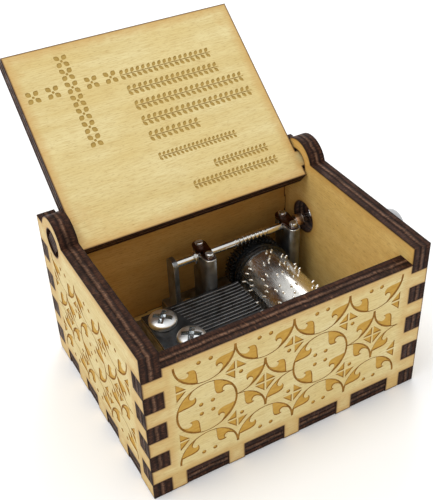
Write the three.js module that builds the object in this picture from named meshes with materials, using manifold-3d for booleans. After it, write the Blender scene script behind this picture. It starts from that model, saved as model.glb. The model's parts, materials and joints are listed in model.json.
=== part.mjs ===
// A hand-cranked music box: a laser-cut plywood case with a leaning lid, and an 18-note movement inside.
// Millimetres, +Z up, the front faces -Y. The origin is the centre of the case's underside.

import * as THREE from 'three';
import { mergeVertices } from 'three/addons/utils/BufferGeometryUtils.js';
import Module from 'manifold-3d';

const wasm = await Module();
wasm.setup();

// ---- driving dimensions: case ----
const CASE_W = 64;             // outside, along X
const CASE_D = 51;             // outside, along Y
const PLY = 4;                 // plywood thickness
const SIDE_TOP = 38;
const FRONT_TOP = 34;
const BACK_TOP = 37.25;        // the open lid leans on this panel's inner top edge
const FINGER = 4;              // height of one finger of the corner joints
const KERF = 0.06;             // gap left by the laser on each side of a finger
const FRONT_TAB = { count: 4, width: 9.2, pitch: 13.2 };
const SIDE_TAB = { count: 4, width: 5.8, pitch: 10.9 };
const TAB_RECESS = 0.15;       // the floor's tabs stop just short of the outer faces

// ---- driving dimensions: lid ----
const PIVOT = { y: 16.7, z: 36.1 };
const EAR_R = 5.8;             // round ears of the side panels, about the pivot
const PIVOT_HOLE_R = 3.15;
const LID_FRONT = 42.1;        // from the pivot to the lid's front edge
const LID_REAR = 4.2;          // from the pivot to the lid's rear edge
const LID_SIDE_GAP = 0.3;
const LID_TAB = 4;             // square tab that turns in the ear
const LID_OPEN = THREE.MathUtils.degToRad(142);

// ---- driving dimensions: crank shaft and worm ----
const SHAFT = { y: 13.8, z: 21.8, r: 0.95, left: -6, right: 37.4 };
const WORM = { left: 9.3, turns: 8, pitch: 1.05, root: 0.75, tip: 1.25 };
const THREAD_HALF = { tip: 0.12, root: 0.28 };
const GEAR_TEETH = 42;
const GEAR_PITCH_R = GEAR_TEETH * WORM.pitch / (2 * Math.PI);
const GEAR_TIP_R = GEAR_PITCH_R + 0.2;
const GEAR_ROOT_R = GEAR_PITCH_R - 0.36;
const CRANK_R = 12.35;         // from the shaft to the knob's axis
const CRANK_TILT = THREE.MathUtils.degToRad(2.5);
const ARM = { x: 35.2, thick: 1.2, hub: 2.9, tip: 2.4 };
const KNOB = { left: 36.9, right: 46.6, r: 3.8, bore: 1.15 };
const KNOB_PIN_R = 1;
const SHAFT_HOLE = { y: 13.4, z: 22.6, r: 3.85 };   // wide, so the shaft needn't be central in it

// ---- driving dimensions: drum and comb ----
const DRUM = { x: 14.5, z: SHAFT.z - GEAR_PITCH_R - 1, r: 6.4, bore: 5.9, front: -9.8, back: 9.8 };
const PIN = { width: 0.4, height: 0.55, steps: 84, chordEvery: 4, arc: 1.85 * Math.PI };
const SPINDLE = { r: 1, front: -12.4, back: 17.3 };
const GEAR = { front: 12.5, back: 15.1, flange: 7.1, flangeBack: 10.9, plug: 5.8 };
const RUN_GAP = 0.08;          // radial clearance of a turning bore
const NOTES = 18;
const NOTE_PITCH = 1.02;
const TOOTH = { width: 0.78, tip: 0.4, taper: 1.3 };
const COMB = { left: -17.4, tips: 7.15, top: 14.7, thick: 1, rearNote: 8.75, root: -10.3, slant: 0.275 };
const COMB_SCREWS = { rear: { x: -13.95, y: 5.1 }, front: { x: -11.05, y: -2.95 } };
const TUNING_WEIGHTS = 6;

// ---- driving dimensions: movement frame ----
const BASE = { left: -17.6, right: 26, front: -12.6, back: 19.4, shelf: 15.6, top: 8 };
const WINDOW = { half: 5.6, front: -10.4, back: 15.4 };
const POSTS = { left: 1.2, right: 23.5 };
const POST_R = 1.55;
const CAP_SCREWS = { front: -3, rear: 2 };   // from the shaft's axis to each cap screw, along Y
const POST_TOP = SHAFT.z + SHAFT.r + RUN_GAP;
const CAP = { thick: 0.5, rear: 1.7, front: 1.2 };
const BRACKET = { half: 3.6, thick: 1.4, frontY: -10.6, rearY: 15.6 };
const END_STOP = { thick: 1.2, width: 3.8, top: 23.4, foot: 4.4 };
const MOUNTING_SCREWS = [{ x: -13, y: 12.5 }, { x: 1.5, y: -10 }, { x: 23, y: 3 }];

const ROUND = 24;              // sides of a round piece
const SMALL_ROUND = 16;        // sides of a screw
const HALF_W = CASE_W / 2;
const HALF_D = CASE_D / 2;
const IN_W = HALF_W - PLY;
const IN_D = HALF_D - PLY;

// ---- directions for flat outlines ----
const ALONG = {
  x: new THREE.Vector3(1, 0, 0),
  y: new THREE.Vector3(0, 1, 0),
  z: new THREE.Vector3(0, 0, 1),
};
const FACING_FRONT = new THREE.Matrix4().makeBasis(ALONG.x, ALONG.z, ALONG.y.clone().negate());
const FACING_SIDE = new THREE.Matrix4().makeBasis(ALONG.y, ALONG.z, ALONG.x);

// ---- materials ----
const finish = (color, roughness, metalness) =>
  () => new THREE.MeshStandardMaterial({ color, roughness, metalness });
const birch = finish(0xd6c082, 0.6, 0);
const castZinc = finish(0x7d7f80, 0.5, 0.9);
const springSteel = finish(0x6f7274, 0.4, 1);
const brightSteel = finish(0xd8d8d4, 0.2, 1);
const brownPlate = finish(0x3a211c, 0.4, 0.6);
const blackNylon = finish(0x141517, 0.4, 0);
const nickel = finish(0xc9c6bd, 0.15, 1);
const brass = finish(0xb87d52, 0.3, 1);
const lead = finish(0x5a5c60, 0.7, 0.6);
const whitePlastic = finish(0xdcdce0, 0.3, 0);

// ---- helpers: solids ----
function toManifold(geometry) {
  const bare = geometry.clone();
  bare.deleteAttribute('normal');
  bare.deleteAttribute('uv');
  const merged = mergeVertices(bare, 1e-5);
  const mesh = new wasm.Mesh({
    numProp: 3,
    vertProperties: new Float32Array(merged.attributes.position.array),
    triVerts: new Uint32Array(merged.index.array),
  });
  return new wasm.Manifold(mesh);
}

function fromManifold(manifold) {
  const mesh = manifold.getMesh();
  const geometry = new THREE.BufferGeometry();
  geometry.setAttribute('position', new THREE.BufferAttribute(mesh.vertProperties, 3));
  geometry.setIndex(new THREE.BufferAttribute(mesh.triVerts, 1));
  geometry.computeVertexNormals();
  return geometry;
}

function join(first, ...others) {
  return fromManifold(others.reduce((sum, other) => sum.add(toManifold(other)), toManifold(first)));
}

function cut(first, ...others) {
  return fromManifold(others.reduce((sum, other) => sum.subtract(toManifold(other)), toManifold(first)));
}

function box(x0, x1, y0, y1, z0, z1) {
  return new THREE.BoxGeometry(x1 - x0, y1 - y0, z1 - z0)
    .translate((x0 + x1) / 2, (y0 + y1) / 2, (z0 + z1) / 2);
}

function turned(profile, axis, sides = ROUND) {
  const points = profile.map(([r, h]) => new THREE.Vector2(r, h));
  const geometry = new THREE.LatheGeometry(points, sides);
  if (axis === 'x') geometry.rotateZ(-Math.PI / 2);
  if (axis === 'z') geometry.rotateX(Math.PI / 2);
  return geometry;
}

function rod(r, from, to, axis, sides = ROUND) {
  return turned([[0, from], [r, from], [r, to], [0, to]], axis, sides);
}

function slab(shape, thick, facing, curveSegments = 6) {
  const geometry = new THREE.ExtrudeGeometry(shape, { depth: thick, bevelEnabled: false, curveSegments });
  return facing ? geometry.applyMatrix4(facing) : geometry;
}

function circleHole(x, y, r) {
  return new THREE.Path().absarc(x, y, r, 0, 2 * Math.PI, true);
}

// A rounded bar from one round end to another, in the plane of its outline.
function roundedBar(from, to, rFrom, rTo) {
  const run = Math.atan2(to.y - from.y, to.x - from.x);
  const lean = Math.asin((rFrom - rTo) / Math.hypot(to.x - from.x, to.y - from.y));
  const side = Math.PI / 2 - lean;
  const shape = new THREE.Shape();
  shape.absarc(from.x, from.y, rFrom, run + side, run - side + 2 * Math.PI, false);
  shape.absarc(to.x, to.y, rTo, run - side, run + side, false);
  return shape;
}

// ---- helpers: finger joints ----
// Slots along one straight edge of an outline that runs anticlockwise: a positive depth cuts in,
// a negative depth stands out as a finger.
function edge(start, end, slots, depth) {
  const run = end.clone().sub(start).normalize();
  const inward = new THREE.Vector2(-run.y, run.x);
  const at = (along, deep) => start.clone().addScaledVector(run, along).addScaledVector(inward, deep);
  const points = [start];
  for (const [from, to] of slots) {
    points.push(at(from, 0), at(from, depth), at(to, depth), at(to, 0));
  }
  return points;
}

const corner = (x, y) => new THREE.Vector2(x, y);
const flip = (slots, length) => slots.map(([from, to]) => [length - to, length - from]).reverse();

// The front and back panels carry fingers at every second step, so the side panels have slots there.
function fingerSlots(gap) {
  const slots = [];
  for (let z = FINGER; z + FINGER <= FRONT_TOP; z += 2 * FINGER) slots.push([z - gap, z + FINGER + gap]);
  return slots;
}

function tabSlots(tab, length, gap) {
  const slots = [];
  for (let i = 0; i < tab.count; i++) {
    const middle = length / 2 + (i - (tab.count - 1) / 2) * tab.pitch;
    slots.push([middle - tab.width / 2 - gap, middle + tab.width / 2 + gap]);
  }
  return slots;
}

// ---- case ----
function crossPanel(top) {
  const fingers = fingerSlots(0);
  const shape = new THREE.Shape([
    ...edge(corner(-IN_W, 0), corner(IN_W, 0), tabSlots(FRONT_TAB, 2 * IN_W, KERF), PLY),
    ...edge(corner(IN_W, 0), corner(IN_W, top), fingers, -PLY),
    ...edge(corner(IN_W, top), corner(-IN_W, top), [], 0),
    ...edge(corner(-IN_W, top), corner(-IN_W, 0), flip(fingers, top), -PLY),
  ]);
  return slab(shape, PLY, FACING_FRONT);
}

function sideOutline() {
  const slots = fingerSlots(KERF);
  const rise = SIDE_TOP - PIVOT.z;
  const reach = Math.sqrt(EAR_R ** 2 - rise ** 2);
  const shape = new THREE.Shape([
    ...edge(corner(-HALF_D, 0), corner(HALF_D, 0), tabSlots(SIDE_TAB, CASE_D, KERF), PLY),
    ...edge(corner(HALF_D, 0), corner(HALF_D, SIDE_TOP), slots, PLY),
    corner(HALF_D, SIDE_TOP),
    corner(PIVOT.y + reach, SIDE_TOP),
  ]);
  const from = Math.atan2(rise, reach);
  shape.absarc(PIVOT.y, PIVOT.z, EAR_R, from, Math.PI - from, false);
  for (const point of edge(corner(-HALF_D, SIDE_TOP), corner(-HALF_D, 0), flip(slots, SIDE_TOP), PLY)) {
    shape.lineTo(point.x, point.y);
  }
  shape.holes.push(circleHole(PIVOT.y, PIVOT.z, PIVOT_HOLE_R));
  return shape;
}

function sidePanel(withShaftHole) {
  const shape = sideOutline();
  if (withShaftHole) shape.holes.push(circleHole(SHAFT_HOLE.y, SHAFT_HOLE.z, SHAFT_HOLE.r));
  return slab(shape, PLY, FACING_SIDE, 12);
}

function countersink({ x, y }) {
  return turned([[0, -1], [2.8, -1], [2.8, 0.4], [1.6, 1.8], [1.6, PLY + 1], [0, PLY + 1]], 'z', SMALL_ROUND)
    .translate(x, y, 0);
}

function bottomPanel() {
  const out = TAB_RECESS - PLY;
  const frontTabs = tabSlots(FRONT_TAB, 2 * IN_W, 0);
  const sideTabs = tabSlots(SIDE_TAB, 2 * IN_D, 0);
  const shape = new THREE.Shape([
    ...edge(corner(-IN_W, -IN_D), corner(IN_W, -IN_D), frontTabs, out),
    ...edge(corner(IN_W, -IN_D), corner(IN_W, IN_D), sideTabs, out),
    ...edge(corner(IN_W, IN_D), corner(-IN_W, IN_D), frontTabs, out),
    ...edge(corner(-IN_W, IN_D), corner(-IN_W, -IN_D), sideTabs, out),
  ]);
  return cut(slab(shape, PLY), ...MOUNTING_SCREWS.map(countersink));
}

// The lid lies along -Y from its pivot, and its tabs reach the outer faces of the side panels.
function lidBoard() {
  const half = IN_W - LID_SIDE_GAP;
  const tab = [[LID_FRONT - LID_TAB / 2, LID_FRONT + LID_TAB / 2]];
  const length = LID_FRONT + LID_REAR;
  const out = half - HALF_W + TAB_RECESS;
  const shape = new THREE.Shape([
    ...edge(corner(-half, -LID_FRONT), corner(half, -LID_FRONT), [], 0),
    ...edge(corner(half, -LID_FRONT), corner(half, LID_REAR), tab, out),
    ...edge(corner(half, LID_REAR), corner(-half, LID_REAR), [], 0),
    ...edge(corner(-half, LID_REAR), corner(-half, -LID_FRONT), flip(tab, length), out),
  ]);
  return slab(shape, PLY).translate(0, 0, -PLY / 2);
}

// ---- movement frame ----
const rootAt = (y) => COMB.root + COMB.slant * (COMB.rearNote - y);

function combSeat() {
  const front = noteY(NOTES - 1) - TOOTH.width / 2;
  const back = COMB.rearNote + TOOTH.width / 2;
  const setBack = 1;
  const shape = new THREE.Shape([
    corner(COMB.left, front), corner(rootAt(front) - setBack, front),
    corner(rootAt(back) - setBack, back), corner(COMB.left, back),
  ]);
  return slab(shape, COMB.top - COMB.thick - BASE.top + 1).translate(0, 0, BASE.top - 1);
}

function movementBase() {
  const step = POSTS.left - 9;
  const plate = slab(new THREE.Shape([
    corner(BASE.left, BASE.front), corner(BASE.right, BASE.front), corner(BASE.right, BASE.back),
    corner(step, BASE.back), corner(step, BASE.shelf), corner(BASE.left, BASE.shelf),
  ]), BASE.top - PLY).translate(0, 0, PLY);
  const { half, front, back } = WINDOW;
  const window = box(DRUM.x - half, DRUM.x + half, front, back, PLY - 1, BASE.top + 1);
  const tapped = Object.values(COMB_SCREWS).map(({ x, y }) =>
    rod(1.3, BASE.top - 1.5, COMB.top, 'z', SMALL_ROUND).translate(x, y, 0));
  const fixings = MOUNTING_SCREWS.map(({ x, y }) =>
    rod(1.3, PLY - 1, BASE.top - 0.6, 'z', SMALL_ROUND).translate(x, y, 0));
  return cut(join(plate, combSeat()), window, ...tapped, ...fixings);
}

function bearingPost() {
  const outline = roundedBar(corner(0, CAP_SCREWS.front), corner(0, CAP_SCREWS.rear), POST_R, POST_R);
  const body = slab(outline, POST_TOP - BASE.top, null, 8).translate(0, SHAFT.y, BASE.top);
  const bore = SHAFT.r + RUN_GAP;
  const saddle = rod(bore, -3, 3, 'x').translate(0, SHAFT.y, SHAFT.z);
  const mouth = box(-3, 3, SHAFT.y - bore, SHAFT.y + bore, SHAFT.z, POST_TOP + 1);
  const tapped = Object.values(CAP_SCREWS).map((reach) =>
    rod(0.6, POST_TOP - 3, POST_TOP + 1, 'z', SMALL_ROUND).translate(0, SHAFT.y + reach, 0));
  return cut(body, saddle, mouth, ...tapped);
}

function bearingCap() {
  const outline = roundedBar(corner(0, CAP_SCREWS.front), corner(0, CAP_SCREWS.rear), CAP.front, CAP.rear);
  outline.holes.push(...Object.values(CAP_SCREWS).map((reach) => circleHole(0, reach, 0.6)));
  return slab(outline, CAP.thick).translate(0, SHAFT.y, POST_TOP);
}

function capScrew() {
  const profile = [[0, -2.4], [0.5, -2.4], [0.5, 0], [0.95, 0], [0.95, 0.65], [0.75, 0.85], [0, 0.85]];
  const head = turned(profile, 'z', SMALL_ROUND);
  const slot = box(-1.2, 1.2, -0.14, 0.14, 0.5, 2);
  return cut(head, slot).translate(0, 0, POST_TOP + CAP.thick);
}

function endStop() {
  const { thick, width, top, foot } = END_STOP;
  const half = width / 2;
  const round = 1.3;
  const upright = new THREE.Shape();
  upright.moveTo(-half, BASE.top);
  upright.lineTo(half, BASE.top);
  upright.absarc(half - round, top - round, round, 0, Math.PI / 2, false);
  upright.absarc(-half + round, top - round, round, Math.PI / 2, Math.PI, false);
  const plate = slab(upright, thick, FACING_SIDE).translate(-thick, 0, 0);
  const sole = box(-thick / 2, foot, -half, half, BASE.top, BASE.top + 1);
  const hole = rod(0.8, BASE.top - 1, BASE.top + 2, 'z', SMALL_ROUND).translate(foot / 2 + 0.4, 0, 0);
  return cut(join(plate, sole), hole).translate(SHAFT.left - 0.1, SHAFT.y, 0);
}

function endStopScrew() {
  return turned([[0, 0.1], [0.6, 0.1], [0.6, 1], [1.3, 1], [1.3, 1.6], [1, 1.9], [0, 1.9]], 'z', SMALL_ROUND)
    .translate(SHAFT.left + END_STOP.foot / 2 + 0.3, SHAFT.y, BASE.top);
}

function drumBracket(y) {
  const { half, thick } = BRACKET;
  const shape = new THREE.Shape();
  shape.moveTo(-half, BASE.top);
  shape.lineTo(half, BASE.top);
  shape.absarc(0, DRUM.z, half, 0, Math.PI, false);
  shape.holes.push(circleHole(0, DRUM.z, SPINDLE.r + RUN_GAP));
  return slab(shape, thick, FACING_FRONT, 12).translate(DRUM.x, y, 0);
}

// ---- drum ----
// Pins follow a rising and falling pattern round the drum, with a second voice on every few steps.
function pinPlaces() {
  const places = [];
  for (let step = 0; step < PIN.steps; step++) {
    const angle = step / PIN.steps * PIN.arc;
    const note = (5 * step + 3 * Math.floor(step / 6)) % NOTES;
    places.push({ note, angle });
    if (step % PIN.chordEvery === 0) places.push({ note: (note + 7) % NOTES, angle });
  }
  return places;
}

const noteY = (note) => COMB.rearNote - NOTE_PITCH * note;

function pinnedDrum() {
  const { r, bore, front, back } = DRUM;
  const tube = turned([[bore, front], [r, front], [r, back], [bore, back], [bore, front]], 'y', 2 * ROUND);
  const sink = 0.3;
  const half = PIN.width / 2;
  const pin = box(r - sink, r + PIN.height, -half, half, -half, half);
  const pins = pinPlaces().map(({ note, angle }) => pin.clone().rotateY(angle).translate(0, noteY(note), 0));
  return join(tube, ...pins);
}

function frontPlug() {
  const bore = SPINDLE.r + RUN_GAP;
  const { plug } = GEAR;
  const [from, to] = [DRUM.front + 0.2, DRUM.front + 1.6];
  return turned([[bore, from], [plug, from], [plug, to], [bore, to], [bore, from]], 'y');
}

function toothedRim() {
  const shape = new THREE.Shape();
  const step = 2 * Math.PI / GEAR_TEETH;
  const rootHalf = THREAD_HALF.root / GEAR_ROOT_R;
  const tipHalf = THREAD_HALF.tip / GEAR_TIP_R;
  const points = [];
  for (let tooth = 0; tooth < GEAR_TEETH; tooth++) {
    const middle = Math.PI / 2 + tooth * step;
    for (const [r, offset] of [
      [GEAR_ROOT_R, -rootHalf], [GEAR_TIP_R, -tipHalf], [GEAR_TIP_R, tipHalf], [GEAR_ROOT_R, rootHalf],
    ]) {
      points.push(corner(r * Math.cos(middle + offset), r * Math.sin(middle + offset)));
    }
  }
  shape.setFromPoints(points);
  return slab(shape, GEAR.back - GEAR.front, FACING_FRONT).translate(0, GEAR.back, 0);
}

function drumGear() {
  const { front, flange, flangeBack, plug } = GEAR;
  const bore = SPINDLE.r + RUN_GAP;
  const inTube = DRUM.back - 1.4;
  const face = DRUM.back + 0.1;
  const neck = 6.2;
  const hub = turned([[0, inTube], [plug, inTube], [plug, face], [flange, face], [flange, flangeBack],
    [neck, flangeBack], [neck, front + 0.2], [0, front + 0.2]], 'y', 2 * ROUND);
  return cut(join(toothedRim(), hub), rod(bore, inTube - 1, GEAR.back + 1, 'y'));
}

// ---- comb ----
function combPlate() {
  const half = TOOTH.width / 2;
  const tipHalf = TOOTH.tip / 2;
  const points = [corner(COMB.left, noteY(NOTES - 1) - half)];
  for (let note = NOTES - 1; note >= 0; note--) {
    const y = noteY(note);
    const root = rootAt(y);
    const shoulder = COMB.tips - TOOTH.taper;
    points.push(corner(root, y - half), corner(shoulder, y - half), corner(COMB.tips, y - tipHalf));
    points.push(corner(COMB.tips, y + tipHalf), corner(shoulder, y + half), corner(root, y + half));
  }
  points.push(corner(COMB.left, COMB.rearNote + half));
  const shape = new THREE.Shape(points);
  for (const { x, y } of Object.values(COMB_SCREWS)) shape.holes.push(circleHole(x, y, 1.35));
  return slab(shape, COMB.thick).translate(0, 0, COMB.top - COMB.thick);
}

function combScrew({ x, y }) {
  const crown = new THREE.EllipseCurve(0, 0.9, 3.2, 1.3, 0, Math.PI / 2).getPoints(5)
    .map((point) => [point.x, point.y]);
  crown[crown.length - 1][0] = 0;
  const body = turned([[0, -5], [1.2, -5], [1.2, 0], [3.2, 0], ...crown], 'z', ROUND);
  const arms = [box(-1.6, 1.6, -0.3, 0.3, 1.2, 3), box(-0.3, 0.3, -1.6, 1.6, 1.2, 3)];
  return cut(body, ...arms).translate(x, y, COMB.top);
}

function tuningWeight(note) {
  const gap = 0.02;
  const length = 3.4 - 0.35 * note;
  const top = COMB.top - COMB.thick - gap;
  const y = noteY(note);
  const right = COMB.tips - 1.6;
  return box(right - length, right, y - 0.34, y + 0.34, top - 1.6, top);
}

function mountingScrew({ x, y }) {
  const tip = BASE.top - 1;
  return turned([[0, 0.3], [2.5, 0.3], [2.5, 0.5], [1.2, 1.8], [1.2, tip], [0, tip]], 'z', SMALL_ROUND)
    .translate(x, y, 0);
}

// ---- crank shaft ----
// The thread's radius at one angle about the shaft and one place along it. Its groove sits over the
// top tooth of the drum gear.
function threadRadius(angle, x) {
  const turn = (x - DRUM.x) / WORM.pitch - (angle + Math.PI / 2) / (2 * Math.PI);
  const fromCrest = Math.abs(turn - Math.floor(turn) - 0.5) * WORM.pitch;
  const flank = (THREAD_HALF.root - fromCrest) / (THREAD_HALF.root - THREAD_HALF.tip);
  return WORM.root + (WORM.tip - WORM.root) * THREE.MathUtils.clamp(flank, 0, 1);
}

function wormThread() {
  const stepsPerTurn = 8;
  const rings = WORM.turns * stepsPerTurn;
  const sides = SMALL_ROUND;
  const positions = [];
  const index = [];
  for (let ring = 0; ring <= rings; ring++) {
    const x = WORM.left + ring * WORM.pitch / stepsPerTurn;
    for (let side = 0; side < sides; side++) {
      const angle = side * 2 * Math.PI / sides;
      const r = threadRadius(angle, x);
      positions.push(x, r * Math.cos(angle), r * Math.sin(angle));
    }
  }
  const at = (ring, side) => ring * sides + side % sides;
  for (let ring = 0; ring < rings; ring++) {
    for (let side = 0; side < sides; side++) {
      index.push(at(ring, side), at(ring, side + 1), at(ring + 1, side));
      index.push(at(ring, side + 1), at(ring + 1, side + 1), at(ring + 1, side));
    }
  }
  for (let side = 1; side < sides - 1; side++) {
    index.push(at(0, 0), at(0, side + 1), at(0, side));
    index.push(at(rings, 0), at(rings, side), at(rings, side + 1));
  }
  const geometry = new THREE.BufferGeometry();
  geometry.setAttribute('position', new THREE.Float32BufferAttribute(positions, 3));
  geometry.setIndex(index);
  return geometry;
}

function crankShaft() {
  const wormRight = WORM.left + WORM.turns * WORM.pitch;
  const lap = 0.3;
  const left = rod(SHAFT.r, SHAFT.left, WORM.left + lap, 'x');
  const right = rod(SHAFT.r, wormRight - lap, SHAFT.right, 'x');
  return join(wormThread(), left, right).translate(0, SHAFT.y, SHAFT.z);
}

function ringOnShaft(r, from, to) {
  const bore = SHAFT.r + 0.05;
  return turned([[bore, from], [r, from], [r, to], [bore, to], [bore, from]], 'x')
    .translate(0, SHAFT.y, SHAFT.z);
}

function crankArm() {
  const { thick, hub, tip } = ARM;
  const outline = roundedBar(corner(0, 0), corner(-CRANK_R, 0), hub, tip);
  outline.holes.push(circleHole(0, 0, SHAFT.r + 0.05), circleHole(-CRANK_R, 0, KNOB_PIN_R + 0.05));
  return slab(outline, thick, FACING_SIDE, 10);
}

function hexNut() {
  const across = 2.1;
  const hex = [];
  for (let i = 0; i < 6; i++) {
    hex.push(corner(across * Math.cos(i * Math.PI / 3), across * Math.sin(i * Math.PI / 3)));
  }
  const shape = new THREE.Shape(hex);
  shape.holes.push(circleHole(0, 0, SHAFT.r + 0.05));
  return slab(shape, 0.9, FACING_SIDE);
}

function knobPin() {
  const from = ARM.x - 0.4;
  const end = KNOB.right + 0.1;
  const r = KNOB_PIN_R;
  return turned([[0, from], [1.7, from], [1.7, ARM.x - 0.05], [r, ARM.x - 0.05], [r, end], [1.8, end],
    [1.6, end + 0.35], [1, end + 0.5], [0, end + 0.5]], 'x');
}

function knobSleeve() {
  const { left, right, r, bore } = KNOB;
  return turned([[bore, left], [r - 0.9, left], [r - 0.2, left + 0.7], [r, left + 2.4], [r, right - 2],
    [r - 0.35, right - 0.7], [r - 1.2, right], [bore, right], [bore, left]], 'x');
}

// ---- assembly ----
const model = new THREE.Group();

function add(name, geometry, material, parent = model) {
  const mesh = new THREE.Mesh(geometry, material());
  mesh.name = name;
  parent.add(mesh);
  return mesh;
}

function addCase() {
  add('front_panel', crossPanel(FRONT_TOP), birch).position.y = -IN_D;
  add('back_panel', crossPanel(BACK_TOP), birch).position.y = HALF_D;
  add('left_side_panel', sidePanel(false), birch).position.x = -HALF_W;
  add('right_side_panel', sidePanel(true), birch).position.x = IN_W;
  add('bottom_panel', bottomPanel(), birch);
}

function addLid() {
  const hinge = new THREE.Group();
  hinge.position.set(0, PIVOT.y, PIVOT.z);
  hinge.rotation.x = -LID_OPEN;
  add('lid', lidBoard(), birch, hinge);
  model.add(hinge);
}

function addFrame() {
  add('movement_base', movementBase(), castZinc);
  for (const [side, x] of Object.entries(POSTS)) {
    add(`${side}_bearing_post`, bearingPost(), castZinc).position.x = x;
    add(`${side}_bearing_cap`, bearingCap(), brownPlate).position.x = x;
    for (const [place, reach] of Object.entries(CAP_SCREWS)) {
      add(`${side}_${place}_cap_screw`, capScrew(), brightSteel).position.set(x, SHAFT.y + reach, 0);
    }
  }
  add('shaft_end_stop', endStop(), castZinc);
  add('end_stop_screw', endStopScrew(), brightSteel);
  add('front_drum_bracket', drumBracket(BRACKET.frontY), castZinc);
  add('rear_drum_bracket', drumBracket(BRACKET.rearY + BRACKET.thick), castZinc);
  MOUNTING_SCREWS.forEach((place, i) => add(`mounting_screw_${i + 1}`, mountingScrew(place), brightSteel));
}

function addComb() {
  add('comb', combPlate(), springSteel);
  for (const [place, spot] of Object.entries(COMB_SCREWS)) {
    add(`comb_screw_${place}`, combScrew(spot), nickel);
  }
  for (let note = 0; note < TUNING_WEIGHTS; note++) {
    add(`tuning_weight_${note + 1}`, tuningWeight(note), lead);
  }
}

function addDrum() {
  const axle = new THREE.Group();
  axle.position.set(DRUM.x, 0, DRUM.z);
  add('drum_spindle', rod(SPINDLE.r, SPINDLE.front, SPINDLE.back, 'y'), brightSteel, axle);
  add('drum', pinnedDrum(), nickel, axle);
  add('drum_front_plug', frontPlug(), brass, axle);
  add('drum_gear', drumGear(), blackNylon, axle);
  model.add(axle);
}

function addCrank() {
  add('crank_shaft', crankShaft(), brightSteel);
  add('shaft_collar', ringOnShaft(1.6, -1.6, -1), brightSteel);
  add('shaft_coupling', ringOnShaft(1.5, 25.7, 27.6), brass);
  const crank = new THREE.Group();
  crank.position.set(0, SHAFT.y, SHAFT.z);
  crank.rotation.x = CRANK_TILT;
  add('crank_arm', crankArm(), brightSteel, crank).position.x = ARM.x;
  add('crank_nut', hexNut(), brightSteel, crank).position.x = ARM.x + ARM.thick + 0.05;
  add('knob_pin', knobPin(), brightSteel, crank).position.y = -CRANK_R;
  add('crank_knob', knobSleeve(), whitePlastic, crank).position.y = -CRANK_R;
  model.add(crank);
}

addCase();
addLid();
addFrame();
addComb();
addDrum();
addCrank();

export default model;
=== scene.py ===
import json
import math
import random

import bmesh
import bpy
import numpy as np
from mathutils import Matrix, Vector
from mathutils.geometry import delaunay_2d_cdt

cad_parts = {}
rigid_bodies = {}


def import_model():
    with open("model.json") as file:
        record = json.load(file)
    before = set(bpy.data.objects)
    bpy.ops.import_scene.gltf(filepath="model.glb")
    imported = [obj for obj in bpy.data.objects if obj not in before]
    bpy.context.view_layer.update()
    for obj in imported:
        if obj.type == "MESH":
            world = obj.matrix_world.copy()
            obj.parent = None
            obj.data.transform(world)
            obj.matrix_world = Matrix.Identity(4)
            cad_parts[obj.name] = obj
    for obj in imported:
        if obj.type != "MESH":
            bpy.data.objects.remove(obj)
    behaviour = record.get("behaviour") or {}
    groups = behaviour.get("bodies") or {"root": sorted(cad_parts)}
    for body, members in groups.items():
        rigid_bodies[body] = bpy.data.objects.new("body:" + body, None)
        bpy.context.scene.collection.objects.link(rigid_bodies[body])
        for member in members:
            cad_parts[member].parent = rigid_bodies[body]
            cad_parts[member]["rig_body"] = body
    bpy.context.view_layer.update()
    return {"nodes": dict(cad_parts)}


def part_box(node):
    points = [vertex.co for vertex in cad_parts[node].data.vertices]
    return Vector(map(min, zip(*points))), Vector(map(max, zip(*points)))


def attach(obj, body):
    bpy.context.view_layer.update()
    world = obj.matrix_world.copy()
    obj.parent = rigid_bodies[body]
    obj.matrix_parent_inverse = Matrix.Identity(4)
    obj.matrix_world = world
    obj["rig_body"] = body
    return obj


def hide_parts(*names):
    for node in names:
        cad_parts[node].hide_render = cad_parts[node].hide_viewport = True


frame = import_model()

MM = 0.001
random.seed(18)

# ---- dimensions in millimetres, as in the CAD; the case's outer sizes come from the frame ----


def box_mm(node):
    low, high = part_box(node)
    return low / MM, high / MM


FRONT_LOW, FRONT_HIGH = box_mm("front_panel")
HALF_W = FRONT_HIGH.x
HALF_D = -FRONT_LOW.y
PLY = FRONT_HIGH.y - FRONT_LOW.y
FRONT_TOP = FRONT_HIGH.z
BACK_TOP = box_mm("back_panel")[1].z
IN_W = HALF_W - PLY
IN_D = HALF_D - PLY
SIDE_TOP = 38
FINGER = 4
KERF = 0.06
FRONT_TAB = {"count": 4, "width": 9.2, "pitch": 13.2}
SIDE_TAB = {"count": 4, "width": 5.8, "pitch": 10.9}
TAB_RECESS = 0.15
PIVOT = Vector((0, 16.7, 36.1))
EAR_R = 5.8
PIVOT_HOLE_R = 3.15
LID_FRONT = 42.1
LID_REAR = 4.2
LID_SIDE_GAP = 0.3
LID_TAB = 4
LID_OPEN = math.radians(142)
SHAFT = {"y": 13.8, "z": 21.8, "r": 0.95, "left": -6, "right": 37.4}
SHAFT_HOLE = {"y": 13.4, "z": 22.6, "r": 3.85}
WORM = {"left": 9.3, "turns": 8, "pitch": 1.05, "root": 0.75, "tip": 1.25}
THREAD_HALF = {"tip": 0.12, "root": 0.28}
GEAR_PITCH_R = 42 * WORM["pitch"] / (2 * math.pi)
DRUM = {"x": 14.5, "z": SHAFT["z"] - GEAR_PITCH_R - 1, "r": 6.4, "bore": 5.9,
        "front": -9.8, "back": 9.8}
PIN = {"r": 0.27, "height": 0.55, "steps": 84, "chord_every": 4, "arc": 1.85 * math.pi}
NOTES = 18
NOTE_PITCH = 1.02
REAR_NOTE = 8.75
COMB_TOP = 14.7
COMB_SCREWS = {"comb_screw_rear": (-13.95, 5.1), "comb_screw_front": (-11.05, -2.95)}
COMB_SCREW_SIZE = {"r": 3.2, "dome": 0.95, "shank_r": 1.2, "shank": 5}
CAP_PLATE = 0.5                 # the plate on each bearing post
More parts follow.
